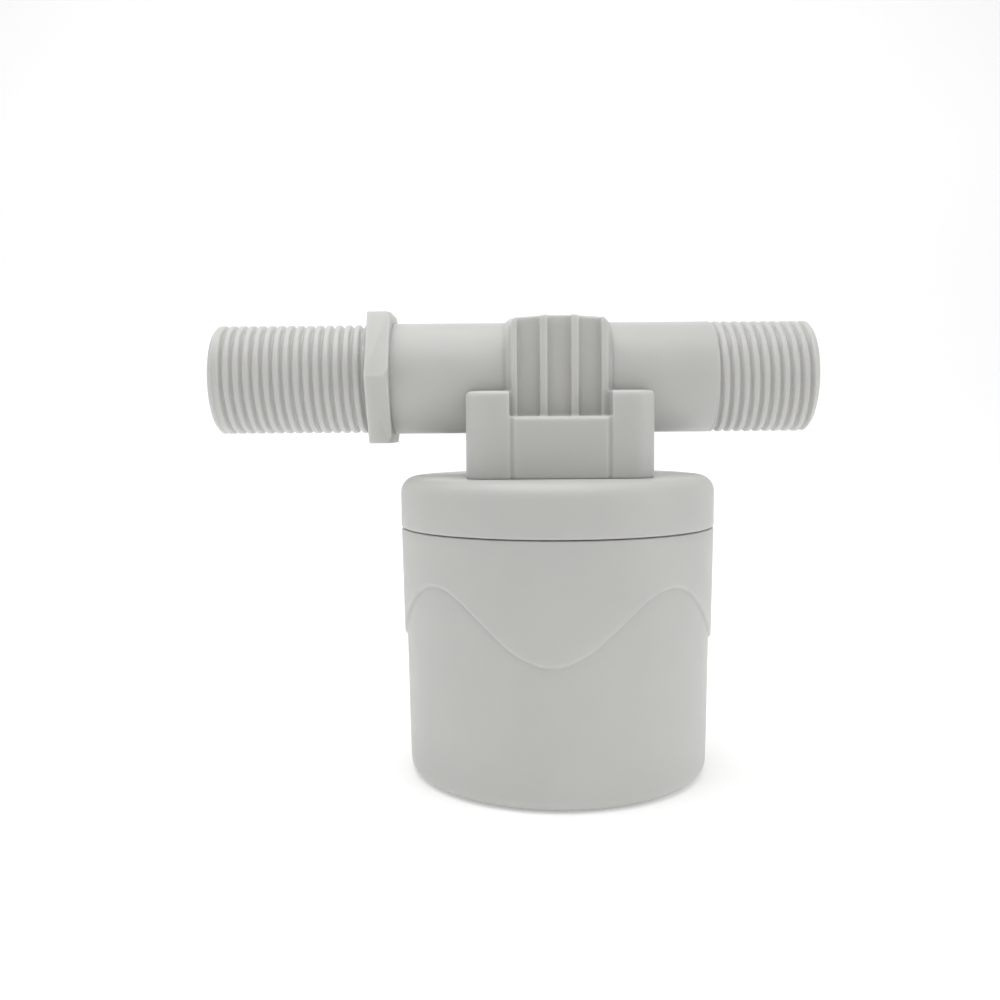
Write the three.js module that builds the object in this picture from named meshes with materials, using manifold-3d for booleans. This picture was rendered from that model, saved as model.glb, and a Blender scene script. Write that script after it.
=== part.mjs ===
// Bucket float valve: a pilot-operated water level valve with a straight threaded pipe on top.
// Millimetres, +Z up, origin at the middle of the bucket's flat base, pipe along X with the inlet at -X.
import * as THREE from 'three';
import { mergeVertices } from 'three/addons/utils/BufferGeometryUtils.js';
import Module from 'manifold-3d';

const wasm = await Module();
wasm.setup();

// ---- Driving dimensions ------------------------------------------------------------------------

const GAP = 0.3; // running and fitting clearance between separate pieces

const PIPE_Z = 78; // height of the pipe's axis
const PIPE_R = 10.87;
const BORE_R = 7.4;
const WALL_X0 = -6.5; // partition between the two bores
const WALL_X1 = -4.4;
const INLET_X = -66.8;
const OUTLET_X = 49.6;

const THREAD_PITCH = 1.9;
const THREAD_DEPTH = 0.85;
const INLET_THREAD_R = 10.6;
const INLET_THREAD_END_X = -37.4; // a plain shoulder follows, up to the hex collar
const INLET_SHOULDER_R = 10.75;
const OUTLET_THREAD_R = 10.85;
const OUTLET_THREAD_START_X = 30.3;

const HEX_X0 = -36.5;
const HEX_X1 = -32.05;
const HEX_ACROSS_FLATS = 25.3;
const HEX_CHAMFER = 1; // cone that cuts the corners on the pipe's side

const HUB_HALF_X = 9.35;
const HUB_HALF_Y = 12.6;
const HUB_TOP_Z = 89.3;
const HUB_CROWN = 0.4; // the hub's top falls away by this much towards its sides
const HUB_SHOULDER = 1.1; // slope at the top of each side
const POCKET_OUTER_X = 7.9; // outer edge of the outer pockets
const POCKET_RIB_X = 2.95; // centre of each thin rib
const POCKET_RIB_T = 1.5;
const POCKET_BACK_Y = 11.1; // deepest point of the pockets' curved back wall
const POCKET_BACK_BOW = 120; // radius of that wall

const HOUSING_HALF = 17.6; // square housing under the pipe
const HOUSING_CORNER_R = 4;
const HOUSING_Z0 = 59;
const HOUSING_TOP_Z = 70.3;
const POST_TOP_Z = 75;
const POST_INNER_X = 9.5;
const POST_INNER_Y = 8;
const GROOVE_W = 0.9;
const GROOVE_DEPTH = 0.4;

const WEB_DROP = 0.6; // the webs between the hub and the posts end this far below the posts' tops

const CHAMBER_R = 13.4; // cylinder that the piston slides in
const CHAMBER_TOP_Z = 67.6;
const SEAT_Z = 65.2; // underside of the main seat
const SEAT_OUTER_R = 6.6;
const SEAT_BORE_R = 4.8;
const INLET_PORT = [-12.2, -7.2, 5.2]; // x from, x to and half width of the way down from the inlet bore

const SCREW_XY = 13.1; // the four screws stand in the corner posts
const SCREW_R = 1.3;
const SCREW_HEAD_R = 2.6;
const SCREW_HEAD_Z0 = 54.2;
const SCREW_TIP_Z = 70;

const LID_R = 31;
const LID_TOP_Z = 58.7;
const LID_EDGE_R = 3;
const LID_RIM_Z = 49.1;
const LID_PLATE_Z = 56.1; // underside of the top plate
const SPIGOT_R = 27.7;
const SPIGOT_INNER_R = 26;
const SPIGOT_Z = 44.2;
const CUP_OUTER_R = 15.3;
const CUP_FLOOR_Z = 52.8;
const CUP_UNDER_Z = 50.6;
const JET_HOLE_R = 2.9;

const BUCKET_TOP_Z = 48.5;
const BUCKET_TOP_R = 30.95;
const BUCKET_BASE_R = 29.6;
const BUCKET_WALL = 2;
const BUCKET_FLOOR_Z = 5;
const BUCKET_EDGE_R = 2.6;
const STEP_HEIGHT = 0.5; // the upper part of the bucket stands proud by this much
const WAVE_MEAN_Z = 32.9;
const WAVE_AMPLITUDE = 6.5;
const WAVE_LOBES = 4;
const WAVE_TROUGH_ANGLE = THREE.MathUtils.degToRad(-95);

const DRAIN_Y = 15;
const DRAIN_RECESS_R = 8.2;
const DRAIN_RECESS_Z = 2.6;
const DRAIN_DISC_R = 6.4;
const DRAIN_STEM_R = 0.9;
const DRAIN_PORT_R = 1.4; // four ports round the drain valve's stem
const DRAIN_PORT_RING_R = 3.8;

const FLOAT_R = 23.8;
const FLOAT_Z0 = 9;
const FLOAT_SHELL_TOP_Z = 28.6;
const FLOAT_CAP_TOP_Z = 31;
const FLOAT_WALL = 1.4;

const PIVOT_X = -12;
const PIVOT_Z = 43.3;
const LINK_X = 12;
const PIN_R = 0.9;
const LEVER_REST_TILT = THREE.MathUtils.degToRad(5);
const LEVER_W = 4;
const LEVER_T = 2.6;
const LINK_Z = PIVOT_Z - (LINK_X - PIVOT_X) * Math.sin(LEVER_REST_TILT);
const JET_TIP_Z = 47.2;

// ---- Helpers -----------------------------------------------------------------------------------

const ALONG_X = new THREE.Matrix4().makeRotationY(Math.PI / 2);
const ABOUT_X = new THREE.Matrix4().makeRotationX(Math.PI / 2); // lathe axis to Z, and Z to -Y

function solid(geometry) {
  const bare = geometry.index ? geometry.toNonIndexed() : geometry.clone();
  bare.deleteAttribute('normal');
  bare.deleteAttribute('uv');
  const welded = mergeVertices(bare, 1e-4);
  const mesh = new wasm.Mesh({
    numProp: 3,
    vertProperties: new Float32Array(welded.attributes.position.array),
    triVerts: new Uint32Array(welded.index.array),
  });
  return new wasm.Manifold(mesh);
}

function toGeometry(manifold) {
  const mesh = manifold.getMesh();
  const geometry = new THREE.BufferGeometry();
  geometry.setAttribute('position', new THREE.BufferAttribute(mesh.vertProperties, 3));
  geometry.setIndex(new THREE.BufferAttribute(mesh.triVerts, 1));
  geometry.computeVertexNormals();
  return geometry;
}

// A turned solid about Z. The points are [radius, height] and go up the outside.
function turned(points, segments = 32) {
  const profile = points.map(([r, z]) => new THREE.Vector2(r, z));
  return new THREE.LatheGeometry(profile, segments).applyMatrix4(ABOUT_X);
}

// A ring about Z: its section is closed on itself.
function ring(points, segments = 32) {
  return turned([...points, points[0]], segments);
}

function plug(radius, z0, z1, segments = 32) {
  return turned([[0, z0], [radius, z0], [radius, z1], [0, z1]], segments);
}

function washer(inner, outer, z0, z1, segments = 32) {
  return ring([[inner, z0], [outer, z0], [outer, z1], [inner, z1]], segments);
}

function block(x0, x1, y0, y1, z0, z1) {
  const box = new THREE.BoxGeometry(x1 - x0, y1 - y0, z1 - z0);
  return box.translate((x0 + x1) / 2, (y0 + y1) / 2, (z0 + z1) / 2);
}

function rodX(radius, x0, x1, segments = 32) {
  return plug(radius, x0, x1, segments).applyMatrix4(ALONG_X).translate(0, 0, PIPE_Z);
}

function rodY(radius, halfLength, x, z, segments = 16) {
  return plug(radius, -halfLength, halfLength, segments).applyMatrix4(ABOUT_X).translate(x, 0, z);
}

function roundedSquare(half, radius) {
  const shape = new THREE.Shape();
  const flat = half - radius;
  shape.moveTo(-flat, -half);
  shape.lineTo(flat, -half);
  shape.absarc(flat, -flat, radius, -Math.PI / 2, 0);
  shape.absarc(flat, flat, radius, 0, Math.PI / 2);
  shape.absarc(-flat, flat, radius, Math.PI / 2, Math.PI);
  shape.absarc(-flat, -flat, radius, Math.PI, 1.5 * Math.PI);
  return shape;
}

function prism(shape, z0, z1, curveSegments = 6) {
  const settings = { depth: z1 - z0, bevelEnabled: false, curveSegments };
  return new THREE.ExtrudeGeometry(shape, settings).translate(0, 0, z0);
}

function joined(...geometries) {
  return geometries.map(solid).reduce((sum, next) => sum.add(next));
}

function cut(base, ...geometries) {
  return geometries.map(solid).reduce((left, tool) => left.subtract(tool), base);
}

// A closed surface about Z made of rings. Each ring is [radius(angle), height(angle)];
// the first and last rings are closed by a point on the axis at the given heights.
function ringed(rings, startZ, endZ, segments) {
  const positions = [0, 0, startZ];
  for (const [radius, height] of rings) {
    for (let i = 0; i < segments; i += 1) {
      const angle = (2 * Math.PI * i) / segments;
      const r = radius(angle);
      positions.push(r * Math.cos(angle), r * Math.sin(angle), height(angle));
    }
  }
  positions.push(0, 0, endZ);
  const last = positions.length / 3 - 1;
  const at = (row, i) => 1 + row * segments + (i % segments);
  const triangles = [];
  for (let i = 0; i < segments; i += 1) {
    triangles.push(0, at(0, i + 1), at(0, i));
    for (let row = 0; row + 1 < rings.length; row += 1) {
      triangles.push(at(row, i), at(row, i + 1), at(row + 1, i + 1));
      triangles.push(at(row, i), at(row + 1, i + 1), at(row + 1, i));
    }
    triangles.push(last, at(rings.length - 1, i), at(rings.length - 1, i + 1));
  }
  const geometry = new THREE.BufferGeometry();
  geometry.setAttribute('position', new THREE.Float32BufferAttribute(positions, 3));
  geometry.setIndex(triangles);
  return geometry;
}

// ---- Materials ---------------------------------------------------------------------------------

function plastic(color, roughness = 0.45) {
  return new THREE.MeshStandardMaterial({ color, roughness, metalness: 0 });
}

function rubber(color) {
  return new THREE.MeshStandardMaterial({ color, roughness: 0.8, metalness: 0 });
}

function steel() {
  return new THREE.MeshStandardMaterial({ color: 0xb9bcc0, roughness: 0.3, metalness: 1 });
}

const WHITE = 0xdcdcd8;
const NATURAL = 0xe6e4da;
const BLACK = 0x24262a;

const valve = new THREE.Group();

function place(name, shape, material, parent = valve) {
  const geometry = shape.isBufferGeometry ? shape : toGeometry(shape);
  const mesh = new THREE.Mesh(geometry, material);
  mesh.name = name;
  parent.add(mesh);
  return mesh;
}

// ---- Valve body --------------------------------------------------------------------------------

// A right-hand thread along X: a crest row and a root row wind round the pipe side by side.
function threadCore(x0, x1, crestR, segments = 24) {
  const rows = 2 * Math.ceil((x1 - x0) / THREAD_PITCH + 3);
  const start = x0 - 1.5 * THREAD_PITCH;
  const positions = [];
  for (let row = 0; row <= rows; row += 1) {
    const r = row % 2 ? crestR - THREAD_DEPTH : crestR;
    for (let i = 0; i < segments; i += 1) {
      const turn = i / segments;
      const angle = 2 * Math.PI * turn;
      const x = start + (row / 2 + turn) * THREAD_PITCH;
      positions.push(x, r * Math.cos(angle), r * Math.sin(angle));
    }
  }
  const at = (row, i) => row * segments + i;
  const triangles = [];
  const quad = (a, b, c, d) => triangles.push(a, b, c, a, c, d);
  for (let row = 0; row < rows; row += 1) {
    for (let i = 0; i + 1 < segments; i += 1) {
      quad(at(row, i), at(row, i + 1), at(row + 1, i + 1), at(row + 1, i));
    }
    if (row + 3 <= rows) {
      quad(at(row, segments - 1), at(row + 2, 0), at(row + 3, 0), at(row + 1, segments - 1));
    }
  }
  const startLoop = [];
  const endLoop = [];
  for (let i = 0; i < segments; i += 1) {
    startLoop.push(at(0, i));
    endLoop.push(at(rows, i));
  }
  startLoop.push(at(2, 0), at(1, 0));
  endLoop.push(at(rows - 1, segments - 1), at(rows - 2, segments - 1));
  const startPoint = positions.length / 3;
  positions.push(start, 0, 0);
  const endPoint = startPoint + 1;
  positions.push(start + (rows / 2 + 1) * THREAD_PITCH, 0, 0);
  startLoop.forEach((from, k) => {
    triangles.push(startPoint, startLoop[(k + 1) % startLoop.length], from);
  });
  endLoop.forEach((from, k) => {
    triangles.push(endPoint, from, endLoop[(k + 1) % endLoop.length]);
  });
  const geometry = new THREE.BufferGeometry();
  geometry.setAttribute('position', new THREE.Float32BufferAttribute(positions, 3));
  geometry.setIndex(triangles);
  return geometry.translate(0, 0, PIPE_Z);
}

// The clip has a chamfer at the free end, on the side that freeEnd (-1 or 1) names.
function threadedEnd(x0, x1, crestR, freeEnd) {
  const reach = crestR + 1;
  const chamferR = crestR - THREAD_DEPTH - 0.3;
  const chamferX = reach - chamferR;
  const outline = freeEnd < 0
    ? [[0, x0], [chamferR, x0], [reach, x0 + chamferX], [reach, x1], [0, x1]]
    : [[0, x0], [reach, x0], [reach, x1 - chamferX], [chamferR, x1], [0, x1]];
  const clip = turned(outline, 24).applyMatrix4(ALONG_X).translate(0, 0, PIPE_Z);
  return solid(threadCore(x0, x1, crestR)).intersect(solid(clip));
}

function hexCollar() {
  const shape = new THREE.Shape();
  const r = HEX_ACROSS_FLATS / Math.sqrt(3);
  for (let k = 0; k < 6; k += 1) {
    const angle = Math.PI / 6 + (k * Math.PI) / 3;
    const point = [r * Math.cos(angle), r * Math.sin(angle)];
    if (k === 0) {
      shape.moveTo(...point);
    } else {
      shape.lineTo(...point);
    }
  }
  shape.closePath();
  const reach = r + 1;
  const cone = turned([
    [0, HEX_X0 - 1], [reach, HEX_X0 - 1], [reach, HEX_X1 - HEX_CHAMFER - 1],
    [r - HEX_CHAMFER, HEX_X1], [0, HEX_X1],
  ], 48);
  const collar = solid(prism(shape, HEX_X0, HEX_X1)).intersect(solid(cone));
  return toGeometry(collar).applyMatrix4(ALONG_X).translate(0, 0, PIPE_Z);
}

function hubPlan() {
  const corner = 0.3;
  const bow = 0.3;
  const x = HUB_HALF_X;
  const y = HUB_HALF_Y;
  const shape = new THREE.Shape();
  shape.moveTo(corner - x, bow - y);
  shape.quadraticCurveTo(0, -y - bow, x - corner, bow - y);
  shape.lineTo(x, bow + corner - y);
  shape.lineTo(x, y - bow - corner);
  shape.lineTo(x - corner, y - bow);
  shape.quadraticCurveTo(0, y + bow, corner - x, y - bow);
  shape.lineTo(-x, y - bow - corner);
  shape.lineTo(-x, bow + corner - y);
  shape.closePath();
  return shape;
}

// The hub as seen from the front: a crowned top between sloping shoulders.
function hubFront() {
  const x = HUB_HALF_X;
  const sideTop = HUB_TOP_Z - HUB_CROWN;
  const shape = new THREE.Shape();
  shape.moveTo(-x, HOUSING_TOP_Z - 2);
  shape.lineTo(x, HOUSING_TOP_Z - 2);
  shape.lineTo(x, sideTop - HUB_SHOULDER);
  shape.lineTo(x - HUB_SHOULDER, sideTop);
  shape.quadraticCurveTo(0, HUB_TOP_Z + HUB_CROWN, HUB_SHOULDER - x, sideTop);
  shape.lineTo(-x, sideTop - HUB_SHOULDER);
  shape.closePath();
  return shape;
}

function hub() {
  const deep = HUB_HALF_Y + 1;
  const front = prism(hubFront(), -deep, deep, 8).applyMatrix4(ABOUT_X);
  return solid(prism(hubPlan(), HOUSING_TOP_Z - 2, HUB_TOP_Z + 1, 8)).intersect(solid(front));
}

// Three open-topped pockets between thin ribs, on the hub's front or back (side -1 or 1).
function hubPockets(side) {
  const far = POCKET_RIB_X - POCKET_RIB_T / 2;
  const near = POCKET_RIB_X + POCKET_RIB_T / 2;
  const outer = HUB_HALF_Y + 2;
  const spans = [[-POCKET_OUTER_X, -near], [-far, far], [near, POCKET_OUTER_X]];
  const wallCentre = side * (POCKET_BACK_Y - POCKET_BACK_BOW);
  const backWall = plug(POCKET_BACK_BOW, HOUSING_TOP_Z - 1, HUB_TOP_Z + 2, 240).translate(0, wallCentre, 0);
  const y0 = Math.min(side * HUB_HALF_Y / 2, side * outer);
  const y1 = Math.max(side * HUB_HALF_Y / 2, side * outer);
  const boxes = spans.map(([x0, x1]) => block(x0, x1, y0, y1, HOUSING_TOP_Z, HUB_TOP_Z + 1));
  return joined(...boxes).subtract(solid(backWall));
}

function housing() {
  const top = POST_TOP_Z + 1;
  const wide = HOUSING_HALF + 1;
  const outline = roundedSquare(HOUSING_HALF, HOUSING_CORNER_R);
  let shell = solid(prism(outline, HOUSING_Z0, POST_TOP_Z));
  shell = cut(
    shell,
    block(-POST_INNER_X, POST_INNER_X, -wide, wide, HOUSING_TOP_Z, top),
    block(-wide, wide, -POST_INNER_Y, POST_INNER_Y, HOUSING_TOP_Z, top),
  );
  for (const sx of [-1, 1]) {
    for (const sy of [-1, 1]) {
      const groove = block(-GROOVE_W / 2, GROOVE_W / 2, -GROOVE_DEPTH, 1, HOUSING_Z0 - 1, top);
      if (sy < 0) {
        groove.rotateZ(Math.PI);
      }
      groove.translate(sx * (POST_INNER_X - GROOVE_W / 2), sy * HOUSING_HALF, 0);
      const x = sx * (HUB_HALF_X + POST_INNER_X) / 2;
      const y = sy * (POST_INNER_Y + HUB_HALF_Y - 0.6) / 2;
      const web = new THREE.BoxGeometry(1, HUB_HALF_Y - 0.6 - POST_INNER_Y, POST_TOP_Z - HOUSING_TOP_Z);
      web.translate(x, y, (POST_TOP_Z + HOUSING_TOP_Z) / 2 - WEB_DROP);
      shell = cut(shell, groove).add(solid(web));
    }
  }
  return shell;
}

function cornerPlaces() {
  const places = [];
  for (const sx of [-1, 1]) {
    for (const sy of [-1, 1]) {
      places.push([sx * SCREW_XY, sy * SCREW_XY]);
    }
  }
  return places;
}

function valveBody() {
  const outside = joined(
    rodX(PIPE_R, HEX_X0 + 1, OUTLET_THREAD_START_X),
    rodX(INLET_SHOULDER_R, INLET_THREAD_END_X, HEX_X0 + 2, 48),
    hexCollar(),
  )
    .add(hub())
    .add(threadedEnd(INLET_X, INLET_THREAD_END_X + 1, INLET_THREAD_R, -1))
    .add(threadedEnd(OUTLET_THREAD_START_X - 1, OUTLET_X, OUTLET_THREAD_R, 1))
    .add(housing());
  const [portX0, portX1, portY] = INLET_PORT;
  const bored = cut(
    outside,
    plug(CHAMBER_R, HOUSING_Z0 - 1, CHAMBER_TOP_Z, 40),
    rodX(BORE_R, INLET_X - 1, WALL_X0),
    rodX(BORE_R, WALL_X1, OUTLET_X + 1),
    block(portX0, portX1, -portY, portY, CHAMBER_TOP_Z - 1, PIPE_Z - 3),
    ...cornerPlaces().map(([x, y]) => {
      return plug(SCREW_R + GAP, HOUSING_Z0 - 1, SCREW_TIP_Z + 1, 12).translate(x, y, 0);
    }),
  );
  const nozzle = plug(SEAT_OUTER_R, SEAT_Z, CHAMBER_TOP_Z + 1, 32);
  return bored
    .add(solid(nozzle))
    .subtract(solid(plug(SEAT_BORE_R, SEAT_Z - 1, PIPE_Z, 32)))
    .subtract(hubPockets(-1))
    .subtract(hubPockets(1));
}

place('valve_body', valveBody(), plastic(WHITE));

// ---- Inlet strainer ----------------------------------------------------------------------------

const STRAINER_X0 = INLET_X + 1;
const STRAINER_LENGTH = 12;

function inletStrainer() {
  const r = BORE_R - GAP;
  const wall = 0.9;
  const end = STRAINER_LENGTH;
  const cup = turned([
    [0, end - wall], [r - 2 - wall, end - wall], [r - 1 - wall, 0], [r, 0], [r, 1.2],
    [r - 1, 1.2], [r - 2, end], [0, end],
  ], 24);
  let basket = solid(cup);
  for (let k = 0; k < 4; k += 1) {
    const slot = block(-BORE_R, BORE_R, -0.9, 0.9, 3, end - 2.5).rotateZ((k * Math.PI) / 4);
    basket = cut(basket, slot);
  }
  const holes = [[0, 0], [2.4, 0], [-2.4, 0], [0, 2.4], [0, -2.4]];
  for (const [x, y] of holes) {
    basket = cut(basket, plug(0.7, end - 2, end + 1, 8).translate(x, y, 0));
  }
  const geometry = toGeometry(basket);
  return geometry.applyMatrix4(ALONG_X).translate(STRAINER_X0, 0, PIPE_Z);
}

place('inlet_strainer', inletStrainer(), plastic(NATURAL, 0.5));

// ---- Piston and its spring ---------------------------------------------------------------------

const PISTON_TOP_Z = 63.1;
const PISTON_BASE_Z = 58.2;
const PISTON_R = CHAMBER_R - 0.5;
const SEAL_GROOVE_Z0 = 59.6;
const SEAL_GROOVE_Z1 = 61.5;
const WASHER_R = 7.6;
const BLEED_R = 0.6; // bleed hole through the piston, outside the seat washer
const BLEED_X = 9.6;
const SEAL_INNER_R = 11.2;
const SEAL_OUTER_R = CHAMBER_R - GAP;
const SPRING_SEAT_Z = 61.3; // roof of the recess in the piston's underside
const SPRING_R = 4.9;
const SPRING_WIRE_R = 0.45;
const SPRING_TURNS = 4;

const piston = new THREE.Group();
valve.add(piston);

function pistonBody() {
  const profile = [
    [0, PISTON_BASE_Z + GAP], [3.4, PISTON_BASE_Z + GAP], [3.4, SPRING_SEAT_Z], [6.2, SPRING_SEAT_Z],
    [6.2, PISTON_BASE_Z], [PISTON_R, PISTON_BASE_Z],
    [PISTON_R, SEAL_GROOVE_Z0], [SEAL_INNER_R - GAP, SEAL_GROOVE_Z0],
    [SEAL_INNER_R - GAP, SEAL_GROOVE_Z1], [PISTON_R, SEAL_GROOVE_Z1], [PISTON_R, 62.2],
    [WASHER_R + GAP + 0.5, 62.2], [WASHER_R + GAP + 0.5, 64.2], [WASHER_R + GAP, 64.2],
    [WASHER_R + GAP, PISTON_TOP_Z], [SCREW_R + GAP, PISTON_TOP_Z], [SCREW_R + GAP, 59.6], [0, 59.6],
  ];
  const bleed = plug(BLEED_R, PISTON_BASE_Z - 1, SEAT_Z, 8).translate(BLEED_X, 0, 0);
  return cut(solid(turned(profile, 32)), bleed);
}

place('valve_piston', pistonBody(), plastic(NATURAL, 0.4), piston);
place('piston_seal', ring([
  [SEAL_INNER_R, 60], [SEAL_INNER_R + 0.6, 59.85], [SEAL_OUTER_R - 0.4, 59.85], [SEAL_OUTER_R, 60.3],
  [SEAL_OUTER_R, 60.9], [SEAL_OUTER_R - 0.4, 61.25], [SEAL_INNER_R + 0.6, 61.25], [SEAL_INNER_R, 61.1],
], 32), rubber(BLACK), piston);
const seatWasher = washer(SCREW_R + GAP, WASHER_R, PISTON_TOP_Z + GAP, SEAT_Z - GAP);
place('seat_washer', seatWasher, rubber(BLACK), piston);
place('washer_screw', turned([
  [0, 60], [SCREW_R, 60], [SCREW_R, SEAT_Z], [3.2, SEAT_Z], [3.2, SEAT_Z + 0.5],
  [2.4, SEAT_Z + 1.1], [0, SEAT_Z + 1.1],
], 20), steel(), piston);

class Coil extends THREE.Curve {
  constructor(radius, z0, z1, turns) {
    super();
    Object.assign(this, { radius, z0, z1, turns });
  }

  getPoint(t, target = new THREE.Vector3()) {
    const angle = 2 * Math.PI * this.turns * t;
    const z = this.z0 + (this.z1 - this.z0) * t;
    return target.set(this.radius * Math.cos(angle), this.radius * Math.sin(angle), z);
  }
}

function spring() {
  const clear = SPRING_WIRE_R + 0.1;
  const path = new Coil(SPRING_R, CUP_FLOOR_Z + clear, SPRING_SEAT_Z - clear, SPRING_TURNS);
  const section = new THREE.Shape();
  section.absarc(0, 0, SPRING_WIRE_R, 0, 2 * Math.PI);
  const settings = { steps: 12 * SPRING_TURNS, bevelEnabled: false, extrudePath: path, curveSegments: 3 };
  return new THREE.ExtrudeGeometry(section, settings);
}

place('piston_spring', spring(), steel(), piston);

// ---- Lid with the control chamber, the pilot jet and the screws --------------------------------

const GROOVE_IN_R = 14.2; // gasket groove in the lid's top
const GROOVE_OUT_R = 16.2;
const GROOVE_Z = 57.4;
const LUG_Y0 = 2.6; // ears that hold the lever's pin
const LUG_Y1 = 4.6;
const LUG_HALF_X = 2.4;
const WATER_HOLE_R = 1.6;
const WATER_HOLE_STEP = 0.2; // angle from one hole to the next
const WATER_HOLE_RING_R = 23.6;
const BAYONET_COUNT = 4;
const BAYONET_SPAN = THREE.MathUtils.degToRad(24);
const LUG_R = 28.6; // bayonet lugs on the lid's spigot
const LEDGE_R = 28.05; // ledges inside the bucket's rim, resting over the lugs
const LUG_Z0 = 45;
const LUG_Z1 = 46.6;
const LEDGE_Z0 = 46.9;
const LEDGE_Z1 = 48.3;

// A piece of a flat ring, centred on the given angle.
function ringSector(inner, outer, span, middle, z0, z1) {
  const shape = new THREE.Shape();
  const from = middle - span / 2;
  const to = middle + span / 2;
  shape.absarc(0, 0, outer, from, to, false);
  shape.absarc(0, 0, inner, to, from, true);
  shape.closePath();
  return prism(shape, z0, z1, 5);
}

function bayonetAngles() {
  return Array.from({ length: BAYONET_COUNT }, (_, k) => ((k + 0.5) * 2 * Math.PI) / BAYONET_COUNT);
}

function lid() {
  const edge = [];
  for (let k = 0; k <= 4; k += 1) {
    const a = (k * Math.PI) / 8;
    edge.push([
      LID_R - LID_EDGE_R + LID_EDGE_R * Math.cos(a),
      LID_TOP_Z - LID_EDGE_R + LID_EDGE_R * Math.sin(a),
    ]);
  }
  const profile = [
    [0, CUP_UNDER_Z], [CUP_OUTER_R, CUP_UNDER_Z], [CUP_OUTER_R, LID_PLATE_Z],
    [LID_R - 2.4, LID_PLATE_Z], [LID_R - 2.4, 51.6], [SPIGOT_INNER_R, 50.2],
    [SPIGOT_INNER_R, SPIGOT_Z], [SPIGOT_R, SPIGOT_Z], [SPIGOT_R, LID_RIM_Z], [LID_R, LID_RIM_Z],
    ...edge,
    [GROOVE_OUT_R, LID_TOP_Z], [GROOVE_OUT_R, GROOVE_Z], [GROOVE_IN_R, GROOVE_Z],
    [GROOVE_IN_R, LID_TOP_Z], [CHAMBER_R, LID_TOP_Z], [CHAMBER_R, CUP_FLOOR_Z], [0, CUP_FLOOR_Z],
  ];
  const lugDepth = PIVOT_Z - 2.2;
  const ears = [-1, 1].map((side) => {
    const y0 = Math.min(side * LUG_Y0, side * LUG_Y1);
    const x0 = PIVOT_X - LUG_HALF_X;
    return block(x0, PIVOT_X + LUG_HALF_X, y0, y0 + LUG_Y1 - LUG_Y0, lugDepth, CUP_UNDER_Z + 1);
  });
  const lugs = bayonetAngles().map((angle) => {
    return ringSector(SPIGOT_R - 0.8, LUG_R, BAYONET_SPAN, angle, LUG_Z0, LUG_Z1);
  });
  const whole = joined(turned(profile, 48), ...ears, ...lugs);
  const screwHoles = cornerPlaces().map(([x, y]) => {
    return plug(SCREW_R + GAP, LID_PLATE_Z - 1, LID_TOP_Z + 1, 12).translate(x, y, 0);
  });
  const waterHoles = [-3, -2, -1, 0, 1, 2, 3].map((k) => {
    const angle = Math.PI / 2 + k * WATER_HOLE_STEP;
    const hole = plug(WATER_HOLE_R, LID_PLATE_Z - 1, LID_TOP_Z + 1, 12);
    return hole.translate(WATER_HOLE_RING_R * Math.cos(angle), WATER_HOLE_RING_R * Math.sin(angle), 0);
  });
  return cut(
    whole,
    plug(JET_HOLE_R, CUP_UNDER_Z - 1, CUP_FLOOR_Z + 1, 20),
    rodY(PIN_R + 0.05, LUG_Y1 + 1, PIVOT_X, PIVOT_Z, 14),
    ...screwHoles,
    ...waterHoles,
  );
}

place('lid', lid(), plastic(WHITE));
place('body_gasket', ring([
  [GROOVE_IN_R + GAP, GROOVE_Z + 0.4], [GROOVE_IN_R + 0.7, GROOVE_Z + GAP],
  [GROOVE_OUT_R - 0.7, GROOVE_Z + GAP], [GROOVE_OUT_R - GAP, GROOVE_Z + 0.4],
  [GROOVE_OUT_R - GAP, LID_TOP_Z - 0.3], [GROOVE_OUT_R - 0.7, LID_TOP_Z],
  [GROOVE_IN_R + 0.7, LID_TOP_Z], [GROOVE_IN_R + GAP, LID_TOP_Z - 0.3],
], 32), rubber(BLACK));

const JET_R = JET_HOLE_R - GAP;
const JET_BORE_R = 0.6;
place('pilot_jet', ring([
  [JET_BORE_R, JET_TIP_Z], [1.3, JET_TIP_Z], [1.3, JET_TIP_Z + 1], [JET_R, 49.2],
  [JET_R, CUP_FLOOR_Z + GAP], [3.7, CUP_FLOOR_Z + GAP], [3.7, CUP_FLOOR_Z + 1.1],
  [JET_BORE_R, CUP_FLOOR_Z + 1.1],
], 24), new THREE.MeshStandardMaterial({ color: 0xc8a45a, roughness: 0.35, metalness: 1 }));
place('jet_ring', washer(JET_R + 0.1, 4.2, CUP_UNDER_Z - 1, CUP_UNDER_Z - GAP, 24), rubber(BLACK));

// Pan-head screws that come up through the lid into the corner posts.
cornerPlaces().forEach(([x, y], k) => {
  const head = SCREW_HEAD_Z0;
  const shape = turned([
    [0, head + 0.6], [1, head], [SCREW_HEAD_R - 0.5, head], [SCREW_HEAD_R, head + 0.6],
    [SCREW_HEAD_R, LID_PLATE_Z - GAP], [SCREW_R, LID_PLATE_Z - GAP], [SCREW_R, SCREW_TIP_Z - 1.5],
    [0.3, SCREW_TIP_Z], [0, SCREW_TIP_Z],
  ], 16);
  place(`lid_screw_${k + 1}`, shape, steel()).position.set(x, y, 0);
});

// ---- Pilot lever -------------------------------------------------------------------------------

const PAD_R = 2.2;
const PAD_T = 1.6;
const PAD_PROUD = 1.3;

place('lever_pin', rodY(PIN_R, LUG_Y1 + 0.4, PIVOT_X, PIVOT_Z, 14), steel());

// The lever hangs on its pin and slopes down towards the float until the float rises.
const lever = new THREE.Group();
lever.position.set(PIVOT_X, 0, PIVOT_Z);
lever.rotation.y = LEVER_REST_TILT;
valve.add(lever);

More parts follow.
